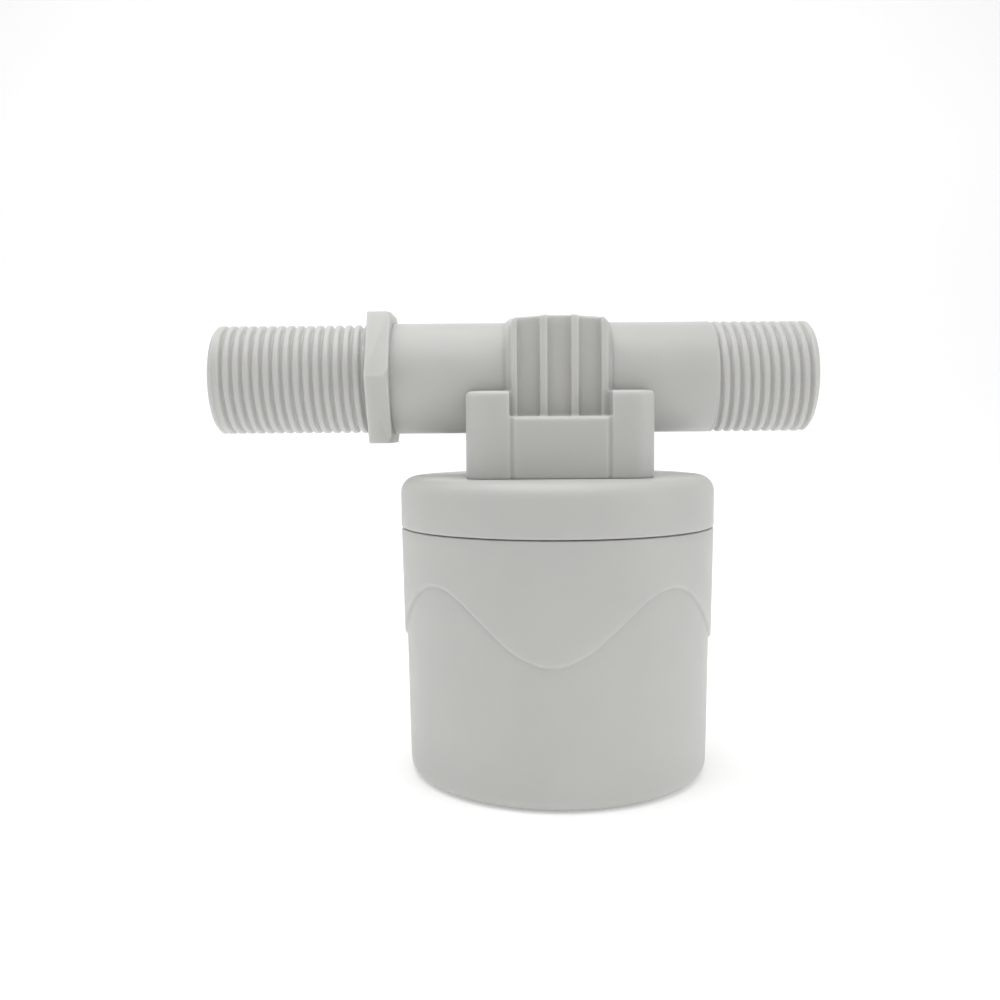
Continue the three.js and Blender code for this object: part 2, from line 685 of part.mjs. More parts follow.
function leverArm() {
  const span = LINK_X - PIVOT_X;
  const end = LEVER_T / 2 + 0.5;
  const shape = new THREE.Shape();
  shape.absarc(0, 0, end, Math.PI / 2, 1.5 * Math.PI, false);
  shape.lineTo(3, -LEVER_T / 2);
  shape.lineTo(span, -LEVER_T / 2 - 0.4);
  shape.absarc(span + 1.2, 0, LEVER_T / 2 + 0.4, -Math.PI / 2, Math.PI / 2, false);
  shape.lineTo(span - 3, LEVER_T / 2);
  shape.lineTo(3, LEVER_T / 2);
  shape.closePath();
  const arm = prism(shape, -LEVER_W / 2, LEVER_W / 2, 8).applyMatrix4(ABOUT_X);
  const slot = PIN_R + GAP;
  const pinHole = rodY(PIN_R + GAP, LEVER_W, 0, 0, 14);
  const slotEnds = [-0.3, 0.3].map((dx) => rodY(slot, LEVER_W, span + dx, 0, 14));
  const slotMiddle = block(span - 0.3, span + 0.3, -LEVER_W, LEVER_W, -slot, slot);
  const boss = plug(PAD_R + 1, -LEVER_T / 2, LEVER_T / 2, 20).translate(-PIVOT_X, 0, 0);
  const recessZ = LEVER_T / 2 + PAD_PROUD - PAD_T - GAP;
  const recess = plug(PAD_R + GAP, recessZ, LEVER_T, 20).translate(-PIVOT_X, 0, 0);
  return cut(joined(arm, boss), pinHole, ...slotEnds, slotMiddle, recess);
}

place('pilot_lever', leverArm(), plastic(NATURAL, 0.45), lever);
const padTop = LEVER_T / 2 + PAD_PROUD;
const pad = plug(PAD_R, padTop - PAD_T, padTop, 20).translate(-PIVOT_X, 0, 0);
place('pilot_pad', pad, rubber(BLACK), lever);

// ---- Float -------------------------------------------------------------------------------------

const CAP_PLATE_Z = FLOAT_SHELL_TOP_Z + GAP;
const STEM_R = 1.8;
const STEM_SOCKET_R = STEM_R + GAP;
const FORK_Y0 = LEVER_W / 2 + 0.4;
const FORK_Y1 = FORK_Y0 + 1.4;

const float = new THREE.Group();
valve.add(float);

place('float_shell', turned([
  [0, FLOAT_Z0], [FLOAT_R - 2, FLOAT_Z0], [FLOAT_R - 0.6, FLOAT_Z0 + 0.6], [FLOAT_R, FLOAT_Z0 + 2],
  [FLOAT_R, FLOAT_SHELL_TOP_Z], [FLOAT_R - FLOAT_WALL, FLOAT_SHELL_TOP_Z],
  [FLOAT_R - FLOAT_WALL, FLOAT_Z0 + 2], [FLOAT_R - FLOAT_WALL - 1, FLOAT_Z0 + FLOAT_WALL],
  [0, FLOAT_Z0 + FLOAT_WALL],
], 40), plastic(NATURAL, 0.5), float);

function floatCap() {
  const lip = FLOAT_R - FLOAT_WALL - GAP;
  const cap = turned([
    [0, CAP_PLATE_Z], [lip - 1.2, CAP_PLATE_Z], [lip - 1.2, CAP_PLATE_Z - 2.4], [lip, CAP_PLATE_Z - 2.4],
    [lip, CAP_PLATE_Z], [FLOAT_R, CAP_PLATE_Z], [FLOAT_R, FLOAT_CAP_TOP_Z - 1],
    [FLOAT_R - 1, FLOAT_CAP_TOP_Z], [0, FLOAT_CAP_TOP_Z],
  ], 40);
  const boss = plug(STEM_R + 2, CAP_PLATE_Z, FLOAT_CAP_TOP_Z + 3, 20).translate(LINK_X, 0, 0);
  const socket = plug(STEM_SOCKET_R, CAP_PLATE_Z + 1, FLOAT_CAP_TOP_Z + 4, 16).translate(LINK_X, 0, 0);
  return cut(joined(cap, boss), socket);
}

place('float_cap', floatCap(), plastic(NATURAL, 0.5), float);

function floatStem() {
  const forkZ = LINK_Z - 2.6;
  const rod = plug(STEM_R, CAP_PLATE_Z + 1 + GAP, forkZ + 0.5, 16).translate(LINK_X, 0, 0);
  const bridge = block(LINK_X - 2, LINK_X + 2, -FORK_Y1, FORK_Y1, forkZ - 1, forkZ + 0.4);
  const ears = [-1, 1].map((side) => {
    const y0 = side < 0 ? -FORK_Y1 : FORK_Y0;
    return block(LINK_X - 2, LINK_X + 2, y0, y0 + FORK_Y1 - FORK_Y0, forkZ, LINK_Z + 2);
  });
  return cut(joined(rod, bridge, ...ears), rodY(PIN_R + 0.05, FORK_Y1 + 1, LINK_X, LINK_Z, 14));
}

place('float_stem', floatStem(), plastic(NATURAL, 0.45), float);
place('link_pin', rodY(PIN_R, FORK_Y1 + 0.3, LINK_X, LINK_Z, 14), steel(), float);

// ---- Bucket and its drain valve ----------------------------------------------------------------

const BUCKET_SEGMENTS = 64;

function bucketTaper(z) {
  const rise = z / BUCKET_TOP_Z;
  return BUCKET_BASE_R + (BUCKET_TOP_R - STEP_HEIGHT - BUCKET_BASE_R) * rise;
}

function waveZ(angle) {
  return WAVE_MEAN_Z - WAVE_AMPLITUDE * Math.cos(WAVE_LOBES * (angle - WAVE_TROUGH_ANGLE));
}

function bucket() {
  const level = (r, z) => [() => r, () => z];
  const innerTopR = BUCKET_TOP_R - BUCKET_WALL;
  const innerBaseR = BUCKET_BASE_R - BUCKET_WALL;
  const base = [];
  for (let k = 0; k <= 4; k += 1) {
    const a = (k * Math.PI) / 8;
    const r = BUCKET_BASE_R - BUCKET_EDGE_R + BUCKET_EDGE_R * Math.sin(a);
    base.push(level(r, BUCKET_EDGE_R * (1 - Math.cos(a))));
  }
  const stepHalf = 0.35;
  const rings = [
    ...base,
    [(a) => bucketTaper(waveZ(a)), (a) => waveZ(a) - stepHalf],
    [(a) => bucketTaper(waveZ(a)) + STEP_HEIGHT, (a) => waveZ(a) + stepHalf],
    level(BUCKET_TOP_R, BUCKET_TOP_Z),
    level(innerTopR, BUCKET_TOP_Z),
    level(innerBaseR, BUCKET_FLOOR_Z + 1),
    level(innerBaseR - 1, BUCKET_FLOOR_Z),
  ];
  const shell = ringed(rings, 0, BUCKET_FLOOR_Z, BUCKET_SEGMENTS);
  const ledges = bayonetAngles().map((angle) => {
    return ringSector(LEDGE_R, innerTopR + 0.6, BAYONET_SPAN, angle, LEDGE_Z0, LEDGE_Z1);
  });
  const portCount = 4;
  const ports = Array.from({ length: portCount }, (_, k) => {
    const angle = ((k + 0.5) * 2 * Math.PI) / portCount;
    const x = DRAIN_PORT_RING_R * Math.cos(angle);
    const y = DRAIN_Y + DRAIN_PORT_RING_R * Math.sin(angle);
    return plug(DRAIN_PORT_R, DRAIN_RECESS_Z - 1, BUCKET_FLOOR_Z + 1, 12).translate(x, y, 0);
  });
  return cut(
    joined(shell, ...ledges),
    plug(DRAIN_RECESS_R, -1, DRAIN_RECESS_Z, 32).translate(0, DRAIN_Y, 0),
    plug(DRAIN_STEM_R + GAP, 0, BUCKET_FLOOR_Z + 1, 12).translate(0, DRAIN_Y, 0),
    ...ports,
  );
}

place('bucket', bucket(), plastic(WHITE));

place('drain_valve', turned([
  [0, 0.7], [DRAIN_DISC_R, 0.7], [DRAIN_DISC_R, 1.3], [DRAIN_DISC_R - 0.4, 1.5], [DRAIN_STEM_R, 1.6],
  [DRAIN_STEM_R, BUCKET_FLOOR_Z + GAP], [2, BUCKET_FLOOR_Z + GAP], [2, BUCKET_FLOOR_Z + 0.7],
  [0.8, BUCKET_FLOOR_Z + 1.3], [0, BUCKET_FLOOR_Z + 1.3],
], 24), rubber(0x8d8f8c)).position.set(0, DRAIN_Y, 0);

export default valve;
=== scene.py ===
"""Bucket float valve: the detailed pieces, their materials, the studio and the camera.

Lengths inside this script are millimetres in the row frame; they become metres when a mesh is made.
"""

import math

import bmesh
import bpy
import numpy as np
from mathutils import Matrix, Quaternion, Vector


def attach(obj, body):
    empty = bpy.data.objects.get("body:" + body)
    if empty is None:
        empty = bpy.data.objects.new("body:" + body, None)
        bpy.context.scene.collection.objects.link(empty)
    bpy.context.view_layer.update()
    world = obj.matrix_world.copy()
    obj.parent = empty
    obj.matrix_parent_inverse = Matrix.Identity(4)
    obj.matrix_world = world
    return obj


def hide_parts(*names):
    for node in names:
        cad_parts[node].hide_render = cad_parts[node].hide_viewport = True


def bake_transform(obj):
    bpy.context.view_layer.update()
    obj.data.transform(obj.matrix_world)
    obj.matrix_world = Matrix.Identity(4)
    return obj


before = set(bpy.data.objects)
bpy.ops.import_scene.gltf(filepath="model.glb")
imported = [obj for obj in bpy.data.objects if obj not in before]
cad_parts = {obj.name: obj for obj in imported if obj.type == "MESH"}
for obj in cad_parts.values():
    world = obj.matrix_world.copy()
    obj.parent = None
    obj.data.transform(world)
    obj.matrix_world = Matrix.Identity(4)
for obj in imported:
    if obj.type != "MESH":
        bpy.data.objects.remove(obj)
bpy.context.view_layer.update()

MM = 0.001

# ---- Driving dimensions, in millimetres ----------------------------------------------------------

PIPE_Z = 78
PIPE_R = 10.87
BORE_R = 7.4
INLET_X = -66.8
OUTLET_X = 49.6
BORE_WALL = (-6.5, -4.4)  # the partition between the two bores
THREAD_PITCH = 1.9
THREAD_DEPTH = 0.6
THREAD_CHAMFER = 0.7
INLET_THREAD_R = 10.64
INLET_SHOULDER = (-37.4, 10.64)  # where the plain shoulder before the hex starts, and its radius
OUTLET_THREAD_R = 10.86
OUTLET_THREAD_X = 30.3
HEX_X = (-36.5, -32.05)
HEX_CHAMFER = 0.8  # cone that cuts the corners on the pipe's side
HEX_ACROSS_FLATS = 25.3
HUB_HALF = (9.35, 12.6)
HUB_TOP_Z = 89.3
HUB_CROWN = 0.4
HUB_SHOULDER = 1.1
POCKETS = ((-7.9, -3.7), (-2.2, 2.2), (3.7, 7.9))
POCKET_BACK_Y = 11.1
POCKET_BACK_BOW = 120  # radius of the back walls
HOUSING_HALF = 17.6
HOUSING_CORNER_R = 4
HOUSING_Z0 = 58.74
HOUSING_TOP_Z = 70.3
POST_TOP_Z = 75
POST_INNER = (9.5, 8)
GROOVE_W = 0.9
GROOVE_DEPTH = 0.4
EDGE_ROUND = 0.9  # soft edge along the tops of the posts and of the block between them
CHAMBER_R = 13.4
CHAMBER_TOP_Z = 67.6
SEAT_Z = 65.2
SEAT_R = (4.8, 6.6)
SCREW_XY = 13.1
SCREW_HOLE_R = 1.6

LID_R = 31
LID_TOP_Z = 58.7
LID_RIM_Z = 48.85
BUCKET_TOP_Z = 48.68
BUCKET_TOP_R = 30.95
BUCKET_BASE_R = 29.6
BUCKET_WALL = 2
BUCKET_FLOOR_Z = 5
BUCKET_EDGE_R = 2.6
STEP_HEIGHT = 0.5
WAVE_MEAN_Z = 32.9
WAVE_AMPLITUDE = 6.5
WAVE_TROUGH = math.radians(-95)

DRAIN_Y = 15
FLOAT_R = 23.8
PIVOT = (-12, 43.3)  # x and z of the lever's pin
LEVER_TILT = math.radians(5)
LINK_X = 12
LINK_Z = PIVOT[1] - (LINK_X - PIVOT[0]) * math.sin(LEVER_TILT)
PIN_R = 0.9

STRAINER_HOLES = ((0, 0), (2.4, 0), (-2.4, 0), (0, 2.4), (0, -2.4))
SPRING_R = 4.9
SPRING_WIRE_R = 0.45
SPRING_TURNS = 4.6
SPRING_Z = (53.36, 60.74)  # heights of the wire's centre at the two ends
JET_X = 12  # from the pivot to the pad under the jet
WATER_HOLE_R = 1.6
WATER_HOLE_STEP = 0.2  # angle from one hole to the next
WATER_HOLE_RING_R = 23.6

WORLD_STRENGTH = 0.48
FLOOR_GLOW = 0.23
FLOOR_SHADE = 0.9
CAMERA_PLACE = (-11.32, -208.74, 68.52)
CAMERA_PITCH = math.radians(4.06)
CAMERA_ROLL = math.radians(-0.437)
CAMERA_LENS = 37.5


# ---- Mesh helpers --------------------------------------------------------------------------------

def make_object(name, verts, faces):
    mesh = bpy.data.meshes.new(name)
    mesh.from_pydata([tuple(c * MM for c in v) for v in verts], [], faces)
    mesh.validate()
    obj = bpy.data.objects.new(name, mesh)
    bpy.context.scene.collection.objects.link(obj)
    tidy_mesh(obj)
    return obj


def tidy_mesh(obj):
    bm = bmesh.new()
    bm.from_mesh(obj.data)
    bmesh.ops.recalc_face_normals(bm, faces=bm.faces)
    bm.to_mesh(obj.data)
    bm.free()


def smooth(obj, angle=35):
    obj.data.shade_smooth()
    obj.data.set_sharp_from_angle(angle=math.radians(angle))


def revolved(points, segments, radius=None):
    """Verts and faces of a profile [(r, h), ...] turned about Z. Ends on the axis become poles;
    a profile that starts off the axis is closed on itself. radius(r, h, angle) may change a radius."""
    closed = points[0][0] > 1e-9
    verts, rows = [], []
    for r, h in points:
        if r <= 1e-9:
            rows.append([len(verts)] * segments)
            verts.append((0.0, 0.0, h))
            continue
        rows.append(list(range(len(verts), len(verts) + segments)))
        for i in range(segments):
            a = 2 * math.pi * i / segments
            rr = radius(r, h, a) if radius else r
            verts.append((rr * math.cos(a), rr * math.sin(a), h))
    faces = []
    count = len(rows)
    for k in range(count if closed else count - 1):
        low, high = rows[k], rows[(k + 1) % count]
        for i in range(segments):
            j = (i + 1) % segments
            corners = [low[i], low[j], high[j], high[i]]
            face = [c for n, c in enumerate(corners) if c not in corners[:n]]
            if len(face) > 2:
                faces.append(face)
    return verts, faces


def rounded(points, steps=5):
    """A profile with filleted corners. Each point is (r, h) or (r, h, fillet radius)."""
    out = []
    count = len(points)
    for k, point in enumerate(points):
        radius = point[2] if len(point) > 2 else 0
        here = Vector(point[:2])
        if not radius:
            out.append(tuple(here))
            continue
        before = (Vector(points[k - 1][:2]) - here).normalized()
        after = (Vector(points[(k + 1) % count][:2]) - here).normalized()
        half = before.angle(after) / 2
        centre = here + (before + after).normalized() * (radius / math.sin(half))
        first = here + before * (radius / math.tan(half)) - centre
        last = here + after * (radius / math.tan(half)) - centre
        sweep = first.angle_signed(last)
        start = math.atan2(first.y, first.x)
        for s in range(steps + 1):
            a = start - sweep * s / steps
            out.append((centre.x + radius * math.cos(a), centre.y + radius * math.sin(a)))
    return out


def turned(name, points, segments=96, steps=5):
    return make_object(name, *revolved(rounded(points, steps), segments))


def prism(name, outline, z0, z1):
    count = len(outline)
    verts = [(x, y, z0) for x, y in outline] + [(x, y, z1) for x, y in outline]
    faces = [list(range(count))[::-1], list(range(count, 2 * count))]
    faces += [[i, (i + 1) % count, count + (i + 1) % count, count + i] for i in range(count)]
    return make_object(name, verts, faces)


def box(name, x, y, z):
    return prism(name, [(x[0], y[0]), (x[1], y[0]), (x[1], y[1]), (x[0], y[1])], z[0], z[1])


def cylinder(name, radius, z0, z1, x=0.0, y=0.0, segments=64):
    verts, faces = revolved([(0, z0), (radius, z0), (radius, z1), (0, z1)], segments)
    return make_object(name, [(vx + x, vy + y, vz) for vx, vy, vz in verts], faces)


def cylinder_x(name, radius, x0, x1, segments=96):
    return laid_x(cylinder(name, radius, x0, x1, segments=segments))


def laid(obj, turn, shift=(0, 0, 0)):
    """Turns and shifts a piece's own mesh. turn maps a vertex (x, y, z) to its new place."""
    offset = Vector(shift) * MM
    for vertex in obj.data.vertices:
        vertex.co = Vector(turn(*vertex.co)) + offset
    tidy_mesh(obj)
    return obj


def laid_x(obj, x=0.0):
    """Lays a piece made about Z along the pipe's axis."""
    return laid(obj, lambda vx, vy, vz: (vz, vy, -vx), (x, 0, PIPE_Z))


def laid_y(obj, x=0.0, z=0.0):
    """Lays a piece made about Z along Y, through the given point."""
    return laid(obj, lambda vx, vy, vz: (vx, -vz, vy), (x, 0, z))


def moved(obj, x=0.0, y=0.0, z=0.0):
    return laid(obj, lambda vx, vy, vz: (vx, vy, vz), (x, y, z))


def boolean(base, operation, *tools):
    for tool in tools:
        modifier = base.modifiers.new("boolean", "BOOLEAN")
        modifier.operation = operation
        modifier.solver = "MANIFOLD"
        modifier.object = tool
    apply_modifiers(base)
    for tool in tools:
        bpy.data.objects.remove(tool)
    return base


def apply_modifiers(obj):
    depsgraph = bpy.context.evaluated_depsgraph_get()
    mesh = bpy.data.meshes.new_from_object(obj.evaluated_get(depsgraph))
    obj.modifiers.clear()
    obj.data = mesh


def remeshed(obj, voxel, rounds, factor=0.5):
    """Rebuilds the surface in even cells and relaxes it, which rounds every edge like a moulding's."""
    remesh = obj.modifiers.new("remesh", "REMESH")
    remesh.mode = "VOXEL"
    remesh.voxel_size = voxel * MM
    relax = obj.modifiers.new("relax", "SMOOTH")
    relax.factor = factor
    relax.iterations = rounds
    apply_modifiers(obj)
    return obj


# ---- Materials -----------------------------------------------------------------------------------

def new_material(name):
    material = bpy.data.materials.new(name)
    material.use_nodes = True
    nodes = material.node_tree.nodes
    return material, nodes, material.node_tree.links, nodes["Principled BSDF"]


def noise(nodes, links, coordinates, scale, detail=3.0):
    node = nodes.new("ShaderNodeTexNoise")
    node.inputs["Scale"].default_value = scale
    node.inputs["Detail"].default_value = detail
    links.new(coordinates, node.inputs["Vector"])
    return node.outputs["Fac"]


def ranged(nodes, links, source, low, high):
    node = nodes.new("ShaderNodeMapRange")
    node.inputs["From Min"].default_value = 0.3
    node.inputs["From Max"].default_value = 0.7
    node.inputs["To Min"].default_value = low
    node.inputs["To Max"].default_value = high
    links.new(source, node.inputs["Value"])
    return node.outputs["Result"]


def moulded(name, pale, deep, roughness, grain, specular=0.5, scatter=0.0):
    """Injection-moulded or pressed material: clouded colour, uneven sheen and a fine skin texture."""
    material, nodes, links, shader = new_material(name)
    place = nodes.new("ShaderNodeTexCoord").outputs["Object"]
    clouds = noise(nodes, links, place, 55, 4)
    ramp = nodes.new("ShaderNodeValToRGB")
    ramp.color_ramp.elements[0].position = 0.32
    ramp.color_ramp.elements[0].color = (*deep, 1)
    ramp.color_ramp.elements[1].position = 0.68
    ramp.color_ramp.elements[1].color = (*pale, 1)
    links.new(clouds, ramp.inputs["Fac"])
    links.new(ramp.outputs["Color"], shader.inputs["Base Color"])
    patches = noise(nodes, links, place, 140, 3)
    links.new(ranged(nodes, links, patches, roughness - 0.05, roughness + 0.07), shader.inputs["Roughness"])
    fine = noise(nodes, links, place, 2600, 2)
    coarse = noise(nodes, links, place, 320, 2)
    heights = nodes.new("ShaderNodeMath")
    heights.operation = "MULTIPLY_ADD"
    links.new(coarse, heights.inputs[0])
    heights.inputs[1].default_value = 1.6
    links.new(fine, heights.inputs[2])
    bump = nodes.new("ShaderNodeBump")
    bump.inputs["Strength"].default_value = 0.35
    bump.inputs["Distance"].default_value = grain * MM
    links.new(heights.outputs["Value"], bump.inputs["Height"])
    links.new(bump.outputs["Normal"], shader.inputs["Normal"])
    shader.inputs["Specular IOR Level"].default_value = specular
    shader.inputs["Subsurface Weight"].default_value = scatter
    shader.inputs["Subsurface Radius"].default_value = (1, 1, 1)
    shader.inputs["Subsurface Scale"].default_value = 2.5 * MM
    return material


def metal(name, colour, roughness, grain):
    material, nodes, links, shader = new_material(name)
    place = nodes.new("ShaderNodeTexCoord").outputs["Object"]
    shader.inputs["Metallic"].default_value = 1
    smears = noise(nodes, links, place, 400, 4)
    mix = nodes.new("ShaderNodeMix")
    mix.data_type = "RGBA"
    mix.inputs["A"].default_value = (*[c * 0.82 for c in colour], 1)
    mix.inputs["B"].default_value = (*colour, 1)
    links.new(smears, mix.inputs["Factor"])
    links.new(mix.outputs["Result"], shader.inputs["Base Color"])
    links.new(ranged(nodes, links, smears, roughness - 0.06, roughness + 0.1), shader.inputs["Roughness"])
    bump = nodes.new("ShaderNodeBump")
    bump.inputs["Strength"].default_value = 0.3
    bump.inputs["Distance"].default_value = grain * MM
    links.new(noise(nodes, links, place, 1800, 2), bump.inputs["Height"])
    links.new(bump.outputs["Normal"], shader.inputs["Normal"])
    return material


MATERIALS = {
    "shell_plastic": moulded("shell_plastic", (0.535, 0.535, 0.515), (0.515, 0.513, 0.497), 0.42, 0.01,
                             scatter=0.6),
    "inner_plastic": moulded("inner_plastic", (0.68, 0.67, 0.61), (0.64, 0.63, 0.57), 0.4, 0.01),
    "float_plastic": moulded("float_plastic", (0.72, 0.71, 0.66), (0.68, 0.67, 0.62), 0.45, 0.012),
    "seal_rubber": moulded("seal_rubber", (0.03, 0.03, 0.033), (0.018, 0.018, 0.02), 0.7, 0.02, 0.3),
    "grey_rubber": moulded("grey_rubber", (0.26, 0.27, 0.26), (0.21, 0.22, 0.21), 0.65, 0.02, 0.3),
    "steel": metal("steel", (0.62, 0.63, 0.65), 0.28, 0.004),
    "brass": metal("brass", (0.72, 0.52, 0.24), 0.3, 0.004),
}


def finish_piece(obj, body, slot, *stands_for, angle=35):
    smooth(obj, angle)
    obj.data.materials.clear()
    obj.data.materials.append(MATERIALS[slot])
    if stands_for:
        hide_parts(*stands_for)
    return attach(obj, body)


# ---- Valve body ----------------------------------------------------------------------------------

def thread_cut(x, angle):
    """How deep the thread is cut at a place on the pipe, from 0 on a crest to 1 in a root."""
    phase = (x / THREAD_PITCH - angle / (2 * math.pi)) % 1
    t = abs(phase - 0.5) * 2
    t = min(max((t - 0.1) / 0.55, 0), 1)
    return 1 - t * t * (3 - 2 * t)


def pipe_rows():
    """The pipe's outline from the inner end of one bore to the inner end of the other."""
    step = THREAD_PITCH / 10
    low_r = INLET_THREAD_R - THREAD_CHAMFER
    rows = [(0, BORE_WALL[0]), (BORE_R, BORE_WALL[0]), (BORE_R, INLET_X + 0.3), (BORE_R + 0.3, INLET_X)]
    rows += [(low_r - 0.1, INLET_X), (low_r, INLET_X + 0.1)]
    shoulder_x, shoulder_r = INLET_SHOULDER
    for k in range(1, round((shoulder_x - INLET_X) / step)):
        rows.append((INLET_THREAD_R, INLET_X + 0.1 + k * step))
    rows += [(shoulder_r - 0.15, shoulder_x), (shoulder_r, shoulder_x + 0.2), (shoulder_r, HEX_X[0] + 0.8)]
    rows += [(PIPE_R, HEX_X[0] + 1), (PIPE_R, OUTLET_THREAD_X - 0.25), (PIPE_R - 0.1, OUTLET_THREAD_X)]
    count = round((OUTLET_X - 0.1 - OUTLET_THREAD_X) / step)
    for k in range(1, count):
        rows.append((OUTLET_THREAD_R, OUTLET_THREAD_X + k * (OUTLET_X - 0.1 - OUTLET_THREAD_X) / count))
    high_r = OUTLET_THREAD_R - THREAD_CHAMFER
    rows += [(high_r, OUTLET_X - 0.1), (high_r - 0.1, OUTLET_X)]
    rows += [(BORE_R + 0.3, OUTLET_X), (BORE_R, OUTLET_X - 0.3), (BORE_R, BORE_WALL[1]), (0, BORE_WALL[1])]

    def radius(r, x, angle):
        if r == INLET_THREAD_R:
            depth = THREAD_DEPTH * thread_cut(x, angle) * min(max((x - INLET_X - 0.6) / 1.6, 0), 1)
            end = x - INLET_X + low_r
        elif r == OUTLET_THREAD_R:
            depth = THREAD_DEPTH * thread_cut(x, angle) * min((x - OUTLET_THREAD_X) / 0.5, 1)
            end = OUTLET_X - x + high_r
        else:
            return r
        return min(r - depth, end)

    return rows, radius


def pocket_tools():
    """The hub's open-topped pockets, front and back, with their slightly bowed back walls."""
    tools = []
    top = HUB_TOP_Z + 1
    for side in (-1, 1):
        for x0, x1 in POCKETS:
            outline = [(x1, side * 15), (x0, side * 15)]
            for s in range(5):
                x = x0 + (x1 - x0) * s / 4
                outline.append((x, side * (POCKET_BACK_Y - x * x / (2 * POCKET_BACK_BOW))))
            tools.append(prism("pocket", outline, HOUSING_TOP_Z, top))
    return tools


def valve_pipe():
    rows, radius = pipe_rows()
    pipe = laid_x(make_object("valve_pipe", *revolved(rows, 112, radius)))
    return boolean(pipe, "DIFFERENCE", *pocket_tools())


def hex_collar():
    r = HEX_ACROSS_FLATS / math.sqrt(3)
    outline = [(r * math.cos(math.pi / 6 + k * math.pi / 3), r * math.sin(math.pi / 6 + k * math.pi / 3))
               for k in range(6)]
    collar = prism("hex_collar", outline, HEX_X[0], HEX_X[1])
    laid_x(collar)
    cone = [(0, HEX_X[0] - 1), (r + 1, HEX_X[0] - 1), (r + 1, HEX_X[1] - HEX_CHAMFER - 1)]
    cone += [(r - HEX_CHAMFER, HEX_X[1]), (0, HEX_X[1])]
    boolean(collar, "INTERSECT", laid_x(make_object("cone", *revolved(cone, 96))))
    bevel = collar.modifiers.new("bevel", "BEVEL")
    bevel.width = 0.25 * MM
    bevel.segments = 3
    bevel.limit_method = "ANGLE"
    apply_modifiers(collar)
    return boolean(collar, "DIFFERENCE", cylinder_x("bore", BORE_R + 1.5, HEX_X[0] - 2, HEX_X[1] + 2))


def stacked(name, rings):
    """A closed shape through rings of equal point counts, each a height and an outline."""
    count = len(rings[0][1])
    verts = [(x, y, z) for z, outline in rings for x, y in outline]
    faces = [list(range(count))[::-1], list(range(len(verts) - count, len(verts)))]
    for k in range(len(rings) - 1):
        low, high = k * count, (k + 1) * count
        for i in range(count):
            j = (i + 1) % count
            faces.append([low + i, low + j, high + j, high + i])
    return make_object(name, verts, faces)


def rounded_square(half, radius, steps=10):
    points = []
    for k in range(4):
        a0 = -math.pi / 2 + k * math.pi / 2
        cx = (half - radius) * (1 if k in (0, 1) else -1)
        cy = (half - radius) * (1 if k in (1, 2) else -1)
        for s in range(steps + 1):
            a = a0 + math.pi / 2 * s / steps
            points.append((cx + radius * math.cos(a), cy + radius * math.sin(a)))
    return points


def hub_front(steps=12):
    """The hub as seen from the front, in X and Z: a crowned top between sloping shoulders."""
    x = HUB_HALF[0]
    side_top = HUB_TOP_Z - HUB_CROWN
    outline = [(-x, HOUSING_TOP_Z - 2), (x, HOUSING_TOP_Z - 2), (x, side_top - HUB_SHOULDER)]
    for s in range(steps + 1):
        t = 1 - 2 * s / steps
        outline.append((t * (x - HUB_SHOULDER), HUB_TOP_Z - HUB_CROWN * t * t))
    return outline + [(-x, side_top - HUB_SHOULDER)]


def hub_plan(steps=12):
    x, y = HUB_HALF
    corner, bow = 0.3, 0.3
    front = []
    for s in range(steps + 1):
        t = -1 + 2 * s / steps
        front.append((t * (x - corner), -y - bow / 2 + 1.5 * bow * t * t))
    front.append((x, -y + bow + corner))
    return front + [(-px, -py) for px, py in front]


def hub():
    deep = HUB_HALF[1] + 1
    front = laid_y(prism("hub_front", hub_front(), -deep, deep))
    return boolean(prism("hub", hub_plan(), HOUSING_TOP_Z - 2, HUB_TOP_Z + 1), "INTERSECT", front)


